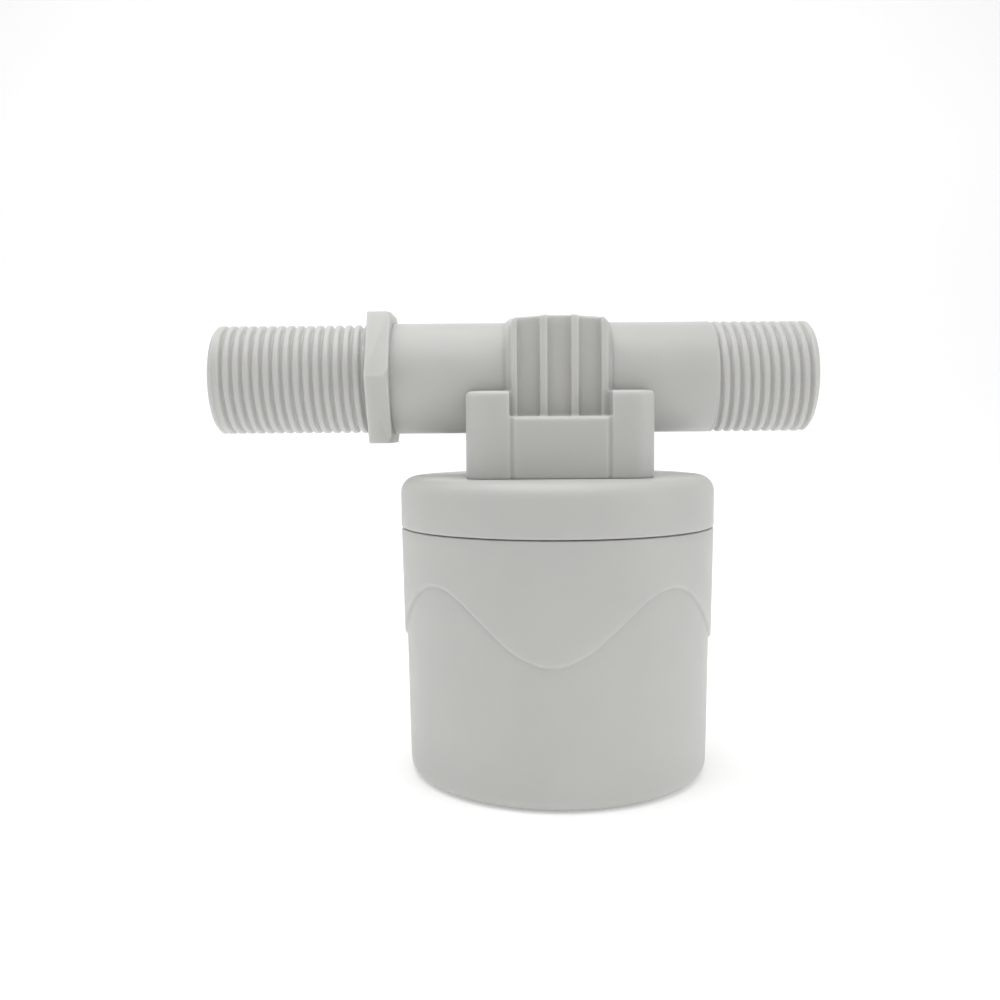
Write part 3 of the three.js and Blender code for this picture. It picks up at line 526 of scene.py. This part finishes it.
def housing_block():
    """The square housing with its corner posts, the ribbed hub and the pipe that they join."""
    wide = HOUSING_HALF + 1
    top = POST_TOP_Z + 1
    rings = [(HOUSING_Z0, rounded_square(HOUSING_HALF, HOUSING_CORNER_R))]
    for s in range(5):
        a = math.pi / 2 * s / 4
        inset = EDGE_ROUND * (1 - math.cos(a))
        z = POST_TOP_Z - EDGE_ROUND * (1 - math.sin(a))
        rings.append((z, rounded_square(HOUSING_HALF - inset, HOUSING_CORNER_R - inset)))
    shell = stacked("valve_housing", rings)
    cuts = [
        box("cut", (-POST_INNER[0], POST_INNER[0]), (-wide, wide), (HOUSING_TOP_Z, top)),
        box("cut", (-wide, wide), (-POST_INNER[1], POST_INNER[1]), (HOUSING_TOP_Z, top)),
    ]
    for sx in (-1, 1):
        for sy in (-1, 1):
            x = sorted((sx * POST_INNER[0], sx * (POST_INNER[0] - GROOVE_W)))
            y = sorted((sy * (HOUSING_HALF - GROOVE_DEPTH), sy * wide))
            cuts.append(box("cut", x, y, (HOUSING_Z0 - 1, top)))
    for side in (-1, 1):
        y0, y1 = side * (HOUSING_HALF - EDGE_ROUND), side * (HOUSING_HALF + 0.1)
        z0, z1 = HOUSING_TOP_Z - EDGE_ROUND, HOUSING_TOP_Z + 0.1
        corner = [(y0 + side * 0.25, z1), (y1, z0 + 0.25), (y1, z1)]
        chamfer = prism("cut", corner, -POST_INNER[0], POST_INNER[0])
        cuts.append(laid(chamfer, lambda vx, vy, vz: (vz, vx, vy)))
    boolean(shell, "DIFFERENCE", *cuts)
    stub = cylinder_x("stub", PIPE_R - 0.06, -17, 17)
    x = HUB_HALF[0]
    fillet = [(0, -x - 1.2), (PIPE_R - 0.1, -x - 1.2), (PIPE_R + 0.2, -x - 0.4), (PIPE_R + 0.9, -x + 0.2)]
    fillet += [(r, -h) for r, h in reversed(fillet)]
    flare = laid_x(make_object("flare", *revolved(fillet, 128)))
    webs = []
    for side in (-1, 1):
        inner, outer = side * (HUB_HALF[0] - 0.3), side * (POST_INNER[0] + 0.3)
        webs.append(box("web", sorted((inner, outer)), (-12, 12), (HOUSING_TOP_Z - 1, POST_TOP_Z - 0.6)))
    boolean(shell, "UNION", hub(), stub, flare, *webs)
    pockets = pocket_tools()
    pockets.append(cylinder("chamber", CHAMBER_R, HOUSING_Z0 - 1, CHAMBER_TOP_Z))
    pockets.append(cylinder_x("bore", BORE_R + 0.5, -18, BORE_WALL[0] + 0.5))
    pockets.append(cylinder_x("bore", BORE_R + 0.5, BORE_WALL[1] - 0.5, 18))
    for x in (-SCREW_XY, SCREW_XY):
        for y in (-SCREW_XY, SCREW_XY):
            pockets.append(cylinder("screw_hole", SCREW_HOLE_R, HOUSING_Z0 - 1, 71, x, y, 24))
    boolean(shell, "DIFFERENCE", *pockets)
    boolean(shell, "UNION", cylinder("nozzle", SEAT_R[1], SEAT_Z, CHAMBER_TOP_Z + 1))
    boolean(shell, "DIFFERENCE", cylinder("nozzle_bore", SEAT_R[0], SEAT_Z - 1, PIPE_Z))
    return remeshed(shell, 0.25, 4)


finish_piece(valve_pipe(), "housing", "shell_plastic", "valve_body", angle=40)
finish_piece(hex_collar(), "housing", "shell_plastic", angle=40)
finish_piece(housing_block(), "housing", "shell_plastic", angle=60)


# ---- Lid -----------------------------------------------------------------------------------------

def ring_sector(name, inner, outer, span, middle, z0, z1, steps=8):
    angles = [middle + span * (s / steps - 0.5) for s in range(steps + 1)]
    outline = [(outer * math.cos(a), outer * math.sin(a)) for a in angles]
    outline += [(inner * math.cos(a), inner * math.sin(a)) for a in reversed(angles)]
    return prism(name, outline, z0, z1)


def bayonet_angles():
    return [(k + 0.5) * math.pi / 2 for k in range(4)]


def lid():
    shell = turned("round_lid", [
        (0, 50.6), (15.3, 50.6, 0.4), (15.3, 56.1, 0.5), (28.6, 56.1, 0.8), (28.6, 51.6, 0.3),
        (26, 50.2, 0.3), (26, 44.2, 0.3), (27.7, 44.2, 0.5), (27.7, LID_RIM_Z), (LID_R, LID_RIM_Z, 0.4),
        (LID_R, LID_TOP_Z, 3), (16.2, LID_TOP_Z), (16.2, 57.4), (14.2, 57.4), (14.2, LID_TOP_Z),
        (CHAMBER_R, LID_TOP_Z, 0.2), (CHAMBER_R, 52.8, 0.3), (0, 52.8),
    ], 192, 8)
    ears = []
    for side in (-1, 1):
        y = sorted((side * 2.6, side * 4.6))
        ears.append(box("ear", (PIVOT[0] - 2.4, PIVOT[0] + 2.4), y, (41.1, 51.6)))
    lugs = [ring_sector("lug", 26.9, 28.6, math.radians(24), a, 45, 46.6) for a in bayonet_angles()]
    boolean(shell, "UNION", *ears, *lugs)
    holes = [cylinder("hole", 2.9, 49, 54, 0, 0, 48)]
    for x in (-SCREW_XY, SCREW_XY):
        for y in (-SCREW_XY, SCREW_XY):
            holes.append(cylinder("hole", SCREW_HOLE_R, 55, 60, x, y, 32))
    for k in range(-3, 4):
        a = math.pi / 2 + WATER_HOLE_STEP * k
        x, y = WATER_HOLE_RING_R * math.cos(a), WATER_HOLE_RING_R * math.sin(a)
        holes.append(cylinder("hole", WATER_HOLE_R, 55, 60, x, y, 32))
    holes.append(laid_y(cylinder("hole", 0.95, -6, 6, segments=24), PIVOT[0], PIVOT[1]))
    return boolean(shell, "DIFFERENCE", *holes)


finish_piece(lid(), "housing", "shell_plastic", "lid", angle=32)


# ---- Bucket --------------------------------------------------------------------------------------

def wave_z(angle):
    return WAVE_MEAN_Z - WAVE_AMPLITUDE * math.cos(4 * (angle - WAVE_TROUGH))


def bucket_radius(z, angle):
    """The tapered wall, proud by the step above the wavy line."""
    taper = BUCKET_BASE_R + (BUCKET_TOP_R - STEP_HEIGHT - BUCKET_BASE_R) * z / BUCKET_TOP_Z
    slope = 4 * WAVE_AMPLITUDE * math.sin(4 * (angle - WAVE_TROUGH)) / BUCKET_TOP_R
    across = (z - wave_z(angle)) / math.sqrt(1 + slope * slope)
    t = min(max(across / 0.7 + 0.5, 0), 1)
    return taper + STEP_HEIGHT * t * t * (3 - 2 * t)


def bucket():
    """The outer wall's rows follow the wavy line, so that the step stays crisp all round."""
    segments = 256
    top_edge = 0.4
    rows = []
    for s in range(9):
        a = math.pi / 2 * s / 8
        inset = BUCKET_EDGE_R * (1 - math.sin(a))
        rise = BUCKET_EDGE_R * (1 - math.cos(a))
        rows.append((lambda ang, i=inset: BUCKET_BASE_R - i, lambda ang, h=rise: h))
    fractions = [-1 + s / 6 for s in range(1, 6)]
    near = [-0.9, -0.5, -0.35, -0.25, -0.15, -0.05, 0.05, 0.15, 0.25, 0.35, 0.5, 0.9]
    for f in fractions:
        rows.append((None, lambda ang, f=f: wave_z(ang) - 1 + f * (wave_z(ang) - 1 - BUCKET_EDGE_R)))
    for offset in near:
        rows.append((None, lambda ang, o=offset: wave_z(ang) + o * 1.3))
    for s in range(1, 7):
        high = BUCKET_TOP_Z - top_edge
        rows.append((None, lambda ang, f=s / 6, h=high: wave_z(ang) + 1.3 + f * (h - wave_z(ang) - 1.3)))
    flat_rows = [(BUCKET_TOP_R - 0.12, BUCKET_TOP_Z - 0.12), (BUCKET_TOP_R - top_edge, BUCKET_TOP_Z)]
    inner_top = BUCKET_TOP_R - BUCKET_WALL
    inner_base = BUCKET_BASE_R - BUCKET_WALL
    flat_rows += [(inner_top + 0.2, BUCKET_TOP_Z), (inner_top, BUCKET_TOP_Z - 0.2), (inner_top - 0.4, 30)]
    flat_rows += [(inner_base, BUCKET_FLOOR_Z + 1), (inner_base - 0.3, BUCKET_FLOOR_Z + 0.3)]
    flat_rows += [(inner_base - 1, BUCKET_FLOOR_Z)]
    rows += [(lambda ang, r=r: r, lambda ang, h=h: h) for r, h in flat_rows]
    verts = [(0.0, 0.0, 0.0)]
    for radius, height in rows:
        for i in range(segments):
            a = 2 * math.pi * i / segments
            z = height(a)
            r = radius(a) if radius else bucket_radius(z, a)
            verts.append((r * math.cos(a), r * math.sin(a), z))
    verts.append((0.0, 0.0, float(BUCKET_FLOOR_Z)))
    faces = []
    last = len(verts) - 1
    for i in range(segments):
        j = (i + 1) % segments
        faces.append([0, 1 + j, 1 + i])
        for k in range(len(rows) - 1):
            low, high = 1 + k * segments, 1 + (k + 1) * segments
            faces.append([low + i, low + j, high + j, high + i])
        faces.append([last, last - segments + i, last - segments + j])
    shell = make_object("round_bucket", verts, faces)
    span = math.radians(24)
    ledges = [ring_sector("ledge", 28.05, 29.4, span, a, 46.9, 48.3) for a in bayonet_angles()]
    boolean(shell, "UNION", *ledges)
    cuts = [cylinder("cut", 8.2, -1, 2.6, 0, DRAIN_Y, 96), cylinder("cut", 1.2, 0, 6, 0, DRAIN_Y, 32)]
    for k in range(4):
        a = math.pi / 4 + k * math.pi / 2
        cuts.append(cylinder("cut", 1.4, 1, 6, 3.8 * math.cos(a), DRAIN_Y + 3.8 * math.sin(a), 32))
    return boolean(shell, "DIFFERENCE", *cuts)


finish_piece(bucket(), "bucket", "shell_plastic", "bucket", angle=38)


# ---- Strainer, piston and spring -----------------------------------------------------------------

def strainer():
    cup = turned("inlet_basket", [
        (0, 11.1), (4.2, 11.1, 0.3), (5.2, 0), (7.1, 0, 0.15), (7.1, 1.2, 0.15), (6.1, 1.2, 0.2),
        (5.1, 12, 0.4), (0, 12),
    ], 96)
    cuts = []
    for k in range(4):
        slot = box("cut", (-8, 8), (-0.9, 0.9), (3, 9.5))
        c, s = math.cos(math.pi / 4 * k), math.sin(math.pi / 4 * k)
        cuts.append(laid(slot, lambda x, y, z, c=c, s=s: (x * c - y * s, x * s + y * c, z)))
    for x, y in STRAINER_HOLES:
        cuts.append(cylinder("cut", 0.7, 10, 13, x, y, 24))
    return laid_x(boolean(cup, "DIFFERENCE", *cuts), INLET_X + 1)


def cross_recess(z0, z1, reach=1.3, half=0.3):
    long, short = (-reach, reach), (-half, half)
    return [box("cut", long, short, (z0, z1)), box("cut", short, long, (z0, z1))]


def screw_rows(head, shaft_r, z0, z1, pitch, tip):
    """A head profile, then a threaded shaft from z0 to z1. tip is how far the point tapers."""
    steps = round((z1 - z0) / (pitch / 8))
    shaft = [(shaft_r, z0 + (z1 - z0) * k / steps) for k in range(steps)]
    rows = head + shaft + [(0.3, z1 - 0.02), (0, z1)]

    def radius(r, z, angle):
        if r != shaft_r:
            return r
        phase = z / pitch - angle / (2 * math.pi)
        groove = 0.3 * (0.5 + 0.5 * math.cos(2 * math.pi * phase))
        return min(r - groove * min((z - z0) / 0.6, 1), 0.3 + (z1 - z) / tip)

    return rows, radius


def lid_screw(name, x, y):
    head = [(0, 54.2), (1.9, 54.2), (2.4, 54.42), (2.6, 54.85), (2.6, 55.75), (2.55, 55.8)]
    rows, radius = screw_rows(head, 1.3, 55.8, 70, 1.2, 1.6)
    screw = make_object(name, *revolved(rows, 40, radius))
    boolean(screw, "DIFFERENCE", *cross_recess(54, 55.1, 1.2))
    return moved(screw, x, y)


def washer_screw():
    screw = turned("seat_screw", [
        (0, 60), (1.3, 60, 0.2), (1.3, 65.2), (3.2, 65.2, 0.1), (3.2, 66.3, 0.7), (0, 66.3),
    ], 64)
    return boolean(screw, "DIFFERENCE", *cross_recess(65.5, 67, 1.5))


def coil_spring():
    """Round wire on a helix whose end turns lie nearly flat, like a ground compression spring."""
    steps, sides = 260, 14
    z0, z1 = SPRING_Z
    verts = []
    for k in range(steps + 1):
        t = k / steps
        a = 2 * math.pi * SPRING_TURNS * t
        ease = t - 0.75 * math.sin(2 * math.pi * t) / (2 * math.pi)
        centre = Vector((SPRING_R * math.cos(a), SPRING_R * math.sin(a), z0 + (z1 - z0) * ease))
        out = Vector((math.cos(a), math.sin(a), 0))
        for i in range(sides):
            b = 2 * math.pi * i / sides
            around = math.cos(b) * out + math.sin(b) * Vector((0, 0, 1))
            verts.append(tuple(centre + SPRING_WIRE_R * around))
    faces = [list(range(sides))[::-1], list(range(steps * sides, (steps + 1) * sides))]
    for k in range(steps):
        for i in range(sides):
            j = (i + 1) % sides
            faces.append([k * sides + i, k * sides + j, (k + 1) * sides + j, (k + 1) * sides + i])
    return make_object("coil_spring", verts, faces)


finish_piece(strainer(), "housing", "inner_plastic", "inlet_strainer")
piston = turned("piston_cup", [
    (0, 58.5), (3.4, 58.5, 0.2), (3.4, 61.3, 0.2), (6.2, 61.3, 0.2), (6.2, 58.2, 0.2), (12.9, 58.2, 0.3),
    (12.9, 59.6, 0.1), (10.9, 59.6, 0.1), (10.9, 61.5, 0.1), (12.9, 61.5, 0.1), (12.9, 62.2, 0.2),
    (8.4, 62.2, 0.2), (8.4, 64.2, 0.15), (7.9, 64.2, 0.15), (7.9, 63.1, 0.1), (1.6, 63.1, 0.1),
    (1.6, 59.6), (0, 59.6),
], 128)
boolean(piston, "DIFFERENCE", cylinder("cut", 0.6, 57, 65, 9.6, 0, 24))
finish_piece(piston, "piston", "inner_plastic", "valve_piston")
finish_piece(turned("piston_ring", [
    (11.2, 59.87, 0.45), (13.1, 59.87, 0.45), (13.1, 61.23, 0.45), (11.2, 61.23, 0.45),
], 128), "piston", "seal_rubber", "piston_seal")
finish_piece(turned("seat_disc", [
    (1.6, 63.4, 0.1), (7.6, 63.4, 0.3), (7.6, 64.9, 0.3), (1.6, 64.9, 0.1),
], 96), "piston", "seal_rubber", "seat_washer")
finish_piece(washer_screw(), "piston", "steel", "washer_screw")
for k, (x, y) in enumerate([(-1, -1), (-1, 1), (1, -1), (1, 1)]):
    screw = lid_screw(f"cover_screw_{k + 1}", x * SCREW_XY, y * SCREW_XY)
    finish_piece(screw, "housing", "steel", f"lid_screw_{k + 1}")
spring = coil_spring()
smooth(spring, 60)
spring.data.materials.append(MATERIALS["steel"])
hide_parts("piston_spring")
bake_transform(spring)


# ---- Jet, seals, pins and lever ------------------------------------------------------------------

finish_piece(turned("jet", [
    (0.6, 47.2, 0.1), (1.3, 47.2, 0.15), (1.3, 48.2), (2.6, 49.2), (2.6, 53.1), (3.7, 53.1, 0.1), (3.7, 53.9, 0.2),
    (0.6, 53.9, 0.2),
], 72), "housing", "brass", "pilot_jet")
finish_piece(turned("jet_seal", [
    (2.7, 49.6, 0.3), (4.2, 49.6, 0.3), (4.2, 50.3, 0.3), (2.7, 50.3, 0.3),
], 72), "housing", "seal_rubber", "jet_ring")
finish_piece(turned("cover_gasket", [
    (14.5, 57.7, 0.4), (15.9, 57.7, 0.4), (15.9, 58.7, 0.3), (14.5, 58.7, 0.3),
], 128), "housing", "seal_rubber", "body_gasket")


def pin(name, reach, x, z):
    profile = [(0, -reach), (PIN_R, -reach, 0.25), (PIN_R, reach, 0.25), (0, reach)]
    return laid_y(turned(name, profile, 32), x, z)


finish_piece(pin("pivot_pin", 5, *PIVOT), "housing", "steel", "lever_pin")
finish_piece(pin("fork_pin", 4.1, LINK_X, LINK_Z), "float", "steel", "link_pin")


def on_lever(obj):
    """Tilts a piece made round the pivot as the lever hangs at rest."""
    c, s = math.cos(LEVER_TILT), math.sin(LEVER_TILT)
    return laid(obj, lambda x, y, z: (x * c + z * s, y, -x * s + z * c), (PIVOT[0], 0, PIVOT[1]))


def lever_arm():
    outline = [(1.8 * math.cos(a), 1.8 * math.sin(a)) for a in np.linspace(math.pi / 2, 1.5 * math.pi, 17)]
    outline += [(3, -1.3), (24, -1.7)]
    outline += [(25.2 + 1.7 * math.cos(a), 1.7 * math.sin(a)) for a in np.linspace(-math.pi / 2, math.pi / 2, 17)]
    outline += [(21, 1.3), (3, 1.3)]
    arm = laid_y(prism("float_lever", outline, -2, 2))
    boolean(arm, "UNION", cylinder("boss", 3.2, -1.3, 1.3, JET_X, 0, 48))
    cuts = [laid_y(cylinder("cut", 1.2, -4, 4, segments=32), x) for x in (0, 23.7, 24.3)]
    cuts += [cylinder("cut", 2.5, 0.7, 3, JET_X, 0, 48)]
    return on_lever(remeshed(boolean(arm, "DIFFERENCE", *cuts), 0.15, 3))


finish_piece(lever_arm(), "lever", "inner_plastic", "pilot_lever", angle=50)
pad = turned("lever_pad", [(0, 1.0), (2.2, 1.0, 0.2), (2.2, 2.6, 0.3), (0, 2.6)], 48)
finish_piece(on_lever(moved(pad, JET_X)), "lever", "seal_rubber", "pilot_pad")


# ---- Float and drain valve -----------------------------------------------------------------------

finish_piece(turned("float_cup", [
    (0, 9), (FLOAT_R, 9, 2), (FLOAT_R, 28.6, 0.2), (FLOAT_R - 1.4, 28.6, 0.2),
    (FLOAT_R - 1.4, 10.4, 1), (0, 10.4),
], 160), "float", "float_plastic", "float_shell")


def float_cap():
    lip = FLOAT_R - 1.7
    cap = turned("float_cover", [
        (0, 28.9), (lip - 1.2, 28.9), (lip - 1.2, 26.5, 0.2), (lip, 26.5, 0.3), (lip, 28.9),
        (FLOAT_R, 28.9, 0.2), (FLOAT_R, 31, 0.9), (0, 31),
    ], 160)
    boolean(cap, "UNION", moved(turned("boss", [(0, 30), (3.8, 30), (3.8, 34, 0.4), (0, 34)], 64), LINK_X))
    return boolean(cap, "DIFFERENCE", cylinder("cut", 2.1, 29.9, 35, LINK_X, 0, 48))


def float_stem():
    fork = LINK_Z - 2.6
    stem = box("float_link", (LINK_X - 2, LINK_X + 2), (-3.8, 3.8), (fork - 1, LINK_Z + 2))
    gap = box("cut", (LINK_X - 3, LINK_X + 3), (-2.4, 2.4), (fork + 0.4, LINK_Z + 3))
    pin_hole = laid_y(cylinder("cut", PIN_R + 0.05, -6, 6, segments=32), LINK_X, LINK_Z)
    boolean(stem, "DIFFERENCE", gap, pin_hole)
    boolean(stem, "UNION", cylinder("rod", 1.8, 30.2, fork + 0.2, LINK_X, 0, 48))
    return remeshed(stem, 0.15, 3)


def drain_valve():
    flap = turned("drain_flap", [
        (0, 0.7), (6.4, 0.7, 0.2), (6.4, 1.5, 0.35), (0.9, 1.6, 0.2), (0.9, 5.3), (2, 5.3, 0.3),
        (1.6, 6.2, 0.3), (0, 6.3),
    ], 96)
    return moved(flap, 0, DRAIN_Y)


finish_piece(float_cap(), "float", "float_plastic", "float_cap")
finish_piece(float_stem(), "float", "inner_plastic", "float_stem", angle=50)
finish_piece(drain_valve(), "drain_valve", "grey_rubber", "drain_valve")


# ---- Studio --------------------------------------------------------------------------------------

def white_surface(name, shade):
    material, _, _, shader = new_material(name)
    shader.inputs["Base Color"].default_value = (shade, shade, shade, 1)
    shader.inputs["Roughness"].default_value = 0.9
    shader.inputs["Emission Color"].default_value = (1, 1, 1, 1)
    shader.inputs["Emission Strength"].default_value = FLOOR_GLOW
    return material


def studio_floor():
    """A floor that sweeps up into a wall behind the object."""
    reach, back, bend, height = 900, 520, 260, 1200
    profile = [(-900, 0), (back - bend, 0)]
    for s in range(1, 13):
        a = math.pi / 2 * s / 12
        profile.append((back - bend + bend * math.sin(a), bend * (1 - math.cos(a))))
    profile.append((back, height))
    verts = [(x, y, z - 0.05) for y, z in profile for x in (-reach, reach)]
    faces = [[2 * k, 2 * k + 1, 2 * k + 3, 2 * k + 2] for k in range(len(profile) - 1)]
    floor = make_object("studio_floor", verts, faces)
    floor.data.shade_smooth()
    floor.data.materials.append(white_surface("studio_white", FLOOR_SHADE))


def area_light(name, place, target, size, power):
    data = bpy.data.lights.new(name, "AREA")
    data.shape = "RECTANGLE"
    data.size, data.size_y = (s * MM for s in size)
    data.energy = power
    lamp = bpy.data.objects.new(name, data)
    bpy.context.scene.collection.objects.link(lamp)
    lamp.location = [c * MM for c in place]
    aim = (Vector(target) - Vector(place)) * MM
    lamp.rotation_mode = "QUATERNION"
    lamp.rotation_quaternion = aim.to_track_quat("-Z", "Y")
    return lamp


def studio():
    studio_floor()
    world = bpy.data.worlds.new("studio")
    world.use_nodes = True
    world.node_tree.nodes["Background"].inputs["Color"].default_value = (1, 1, 1, 1)
    world.node_tree.nodes["Background"].inputs["Strength"].default_value = WORLD_STRENGTH
    bpy.context.scene.world = world
    area_light("overhead", (-60, -60, 520), (0, 0, 50), (620, 500), 2.0)
    area_light("side_left", (-420, -180, 160), (0, 0, 60), (300, 400), 0.08)
    area_light("side_right", (420, -180, 160), (0, 0, 60), (300, 400), 0.32)
    scene = bpy.context.scene
    scene.view_settings.view_transform = "Standard"
    scene.view_settings.look = "None"


def camera():
    data = bpy.data.cameras.new("camera")
    data.sensor_width = 36
    data.lens = CAMERA_LENS
    data.clip_start, data.clip_end = 0.01, 20
    cam = bpy.data.objects.new("camera", data)
    bpy.context.scene.collection.objects.link(cam)
    cam.location = [c * MM for c in CAMERA_PLACE]
    look = Vector((0, math.cos(CAMERA_PITCH), -math.sin(CAMERA_PITCH)))
    turn = look.to_track_quat("-Z", "Y")
    cam.rotation_mode = "QUATERNION"
    cam.rotation_quaternion = turn @ Quaternion((0, 0, 1), CAMERA_ROLL)
    bpy.context.scene.camera = cam


studio()
camera()
